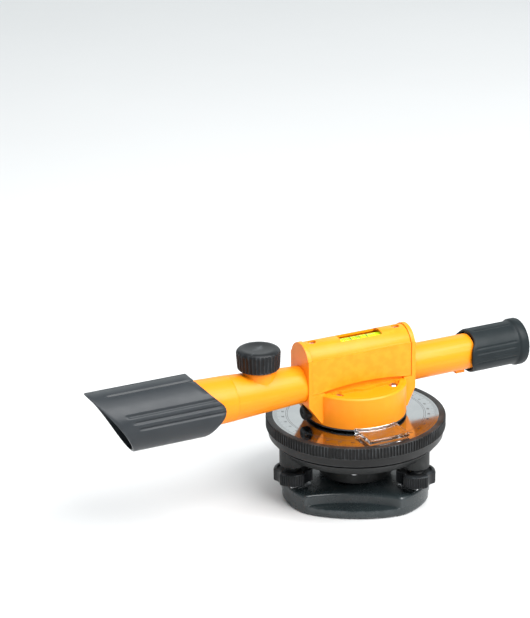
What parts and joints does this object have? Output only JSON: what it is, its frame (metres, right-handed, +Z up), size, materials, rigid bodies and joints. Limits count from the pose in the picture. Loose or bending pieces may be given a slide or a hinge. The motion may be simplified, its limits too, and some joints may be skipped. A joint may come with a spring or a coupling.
{
  "type": "builder's level",
  "caption": "Builder's level: a telescope with sunshade, focus knob and tubular vial on a rotating turret, over a knurled graduated circle and a screw-levelled tripod base.",
  "frame": {"origin": "mouth of the tripod thread, in the middle of the base plate's underside", "axes": "+Z up along the vertical axis, X along the telescope with the eyepiece toward +X and the objective toward -X"},
  "size_m": [0.3265, 0.124, 0.1206],
  "materials": {
    "black_plastic": "moulded black plastic, half gloss",
    "ring_plastic": "moulded dark plastic with a knurled band",
    "knob_plastic": "moulded black plastic, satin",
    "hood_plastic": "fine textured dark grey plastic",
    "orange_plastic": "glossy orange-yellow moulding",
    "steel": "turned and plated",
    "spring_steel": "oiled spring steel",
    "brass": "turned",
    "circle_metal": "bright, with engraved graduations",
    "clear_plastic": "clear moulded plastic",
    "vial_glass": "clear tube",
    "vial_liquid": "yellow-green liquid",
    "lens_glass": "coated optical glass",
    "black_metal": "black anodised",
    "eyecup_rubber": "ribbed soft rubber"
  },
  "bodies": {
    "base": {"base_plate": "black_plastic", "tripod_bush": "brass", "hold_down_stud": "steel", "hold_down_washer": "steel", "hold_down_nut": "steel", "foot_retainers": "steel", "retainer_screws": "steel"},
    "foot_front": {"foot_screw_front": "steel", "foot_knob_front": "knob_plastic"},
    "foot_rear_left": {"foot_screw_rear_left": "steel", "foot_knob_rear_left": "knob_plastic"},
    "foot_rear_right": {"foot_screw_rear_right": "steel", "foot_knob_rear_right": "knob_plastic"},
    "tilt_spring": {"hold_down_spring": "spring_steel"},
    "head": {"levelling_head": "black_plastic", "foot_bushes": "brass", "spindle_sleeve": "brass", "circle_washer": "spring_steel", "hub_screw": "steel"},
    "circle": {"circle_ring": "ring_plastic", "circle_plate": "circle_metal"},
    "alidade": {"housing": "orange_plastic", "collar_plate": "black_plastic", "housing_screws": "steel", "spindle": "steel", "spindle_screws": "steel", "spindle_washer": "steel", "spindle_bolt": "steel", "index_window": "clear_plastic", "vial_cover": "orange_plastic", "cover_screws": "steel", "vial_tube": "vial_glass", "vial_liquid": "vial_liquid", "vial_cradle": "orange_plastic", "main_tube": "black_metal", "front_barrel": "orange_plastic", "rear_barrel": "orange_plastic", "objective_barrel": "orange_plastic", "objective_crown": "lens_glass", "objective_flint": "lens_glass", "objective_ring": "black_metal", "focus_bush": "brass", "reticle_ring": "black_metal", "reticle_glass": "lens_glass", "eyepiece_mount": "black_metal"},
    "clamp_pad": {"clamp_pad": "brass"},
    "clamp_screw": {"clamp_screw": "steel", "clamp_knob": "knob_plastic"},
    "focus_knob": {"focus_pinion": "steel", "focus_knob": "knob_plastic"},
    "focus_slide": {"focus_carrier": "black_metal", "focus_lens": "lens_glass"},
    "dioptre_ring": {"dioptre_ring": "black_metal", "eyecup": "eyecup_rubber"},
    "eyepiece_slide": {"eyepiece_cell": "black_metal", "field_lens": "lens_glass", "eye_lens": "lens_glass"},
    "hood": {"hood": "hood_plastic"}
  },
  "joints": [
    {"name": "foot_front_turn", "type": "hinge", "parent": "base", "child": "foot_front", "pos_m": [-0.0484, 0, 0.0112], "axis": [0, 0, 1], "range_deg": [-720, 720]},
    {"name": "foot_rear_left_turn", "type": "hinge", "parent": "base", "child": "foot_rear_left", "pos_m": [0.0242, -0.04192, 0.0112], "axis": [0, 0, 1], "range_deg": [-720, 720]},
    {"name": "foot_rear_right_turn", "type": "hinge", "parent": "base", "child": "foot_rear_right", "pos_m": [0.0242, 0.04192, 0.0112], "axis": [0, 0, 1], "range_deg": [-720, 720]},
    {"name": "tilt_pitch", "type": "hinge", "parent": "base", "child": "tilt_spring", "pos_m": [0.0242, 0, 0.0363], "axis": [0, 1, 0], "range_deg": [-1.57, 1.57], "deforming": ["hold_down_spring"]},
    {"name": "tilt_roll", "type": "hinge", "parent": "tilt_spring", "child": "head", "pos_m": [0, 0, 0.0363], "axis": [1, 0, 0], "range_deg": [-2.73, 2.73]},
    {"name": "circle_turn", "type": "hinge", "parent": "head", "child": "circle", "pos_m": [0, 0, 0.05], "axis": [0, 0, 1], "continuous": true},
    {"name": "alidade_turn", "type": "hinge", "parent": "head", "child": "alidade", "pos_m": [0, 0, 0.06], "axis": [0, 0, 1], "continuous": true},
    {"name": "clamp_travel", "type": "slide", "parent": "alidade", "child": "clamp_pad", "axis": [-1, 0, 0], "range_m": [0, 0.00119]},
    {"name": "clamp_turn", "type": "hinge", "parent": "clamp_pad", "child": "clamp_screw", "pos_m": [-0.038, 0, 0.0672], "axis": [-1, 0, 0], "range_deg": [0, 540]},
    {"name": "focus_turn", "type": "hinge", "parent": "alidade", "child": "focus_knob", "pos_m": [-0.0732, 0, 0.11], "axis": [0, 0, 1], "range_deg": [-160, 160]},
    {"name": "focus_travel", "type": "slide", "parent": "alidade", "child": "focus_slide", "axis": [-1, 0, 0], "range_m": [-0.0097, 0.0097]},
    {"name": "dioptre_turn", "type": "hinge", "parent": "alidade", "child": "dioptre_ring", "pos_m": [0.105, 0, 0.0887], "axis": [1, 0, 0], "range_deg": [-40, 40]},
    {"name": "eyepiece_travel", "type": "slide", "parent": "alidade", "child": "eyepiece_slide", "axis": [1, 0, 0], "range_m": [-0.00079, 0.00079]},
    {"name": "hood_slide", "type": "slide", "parent": "alidade", "child": "hood", "axis": [-1, 0, 0], "range_m": [0, 0.036]}
  ],
  "couplings": [
    {"joint": "foot_front_turn", "follows": "tilt_pitch", "ratio": -456.16},
    {"joint": "foot_rear_left_turn", "follows": "tilt_roll", "ratio": 263.36},
    {"joint": "foot_rear_right_turn", "follows": "tilt_roll", "ratio": -263.36},
    {"joint": "clamp_turn", "follows": "clamp_travel", "rad_per_m": 7854},
    {"joint": "focus_turn", "follows": "focus_travel", "rad_per_m": 285.71},
    {"joint": "dioptre_turn", "follows": "eyepiece_travel", "rad_per_m": 872.66}
  ]
}
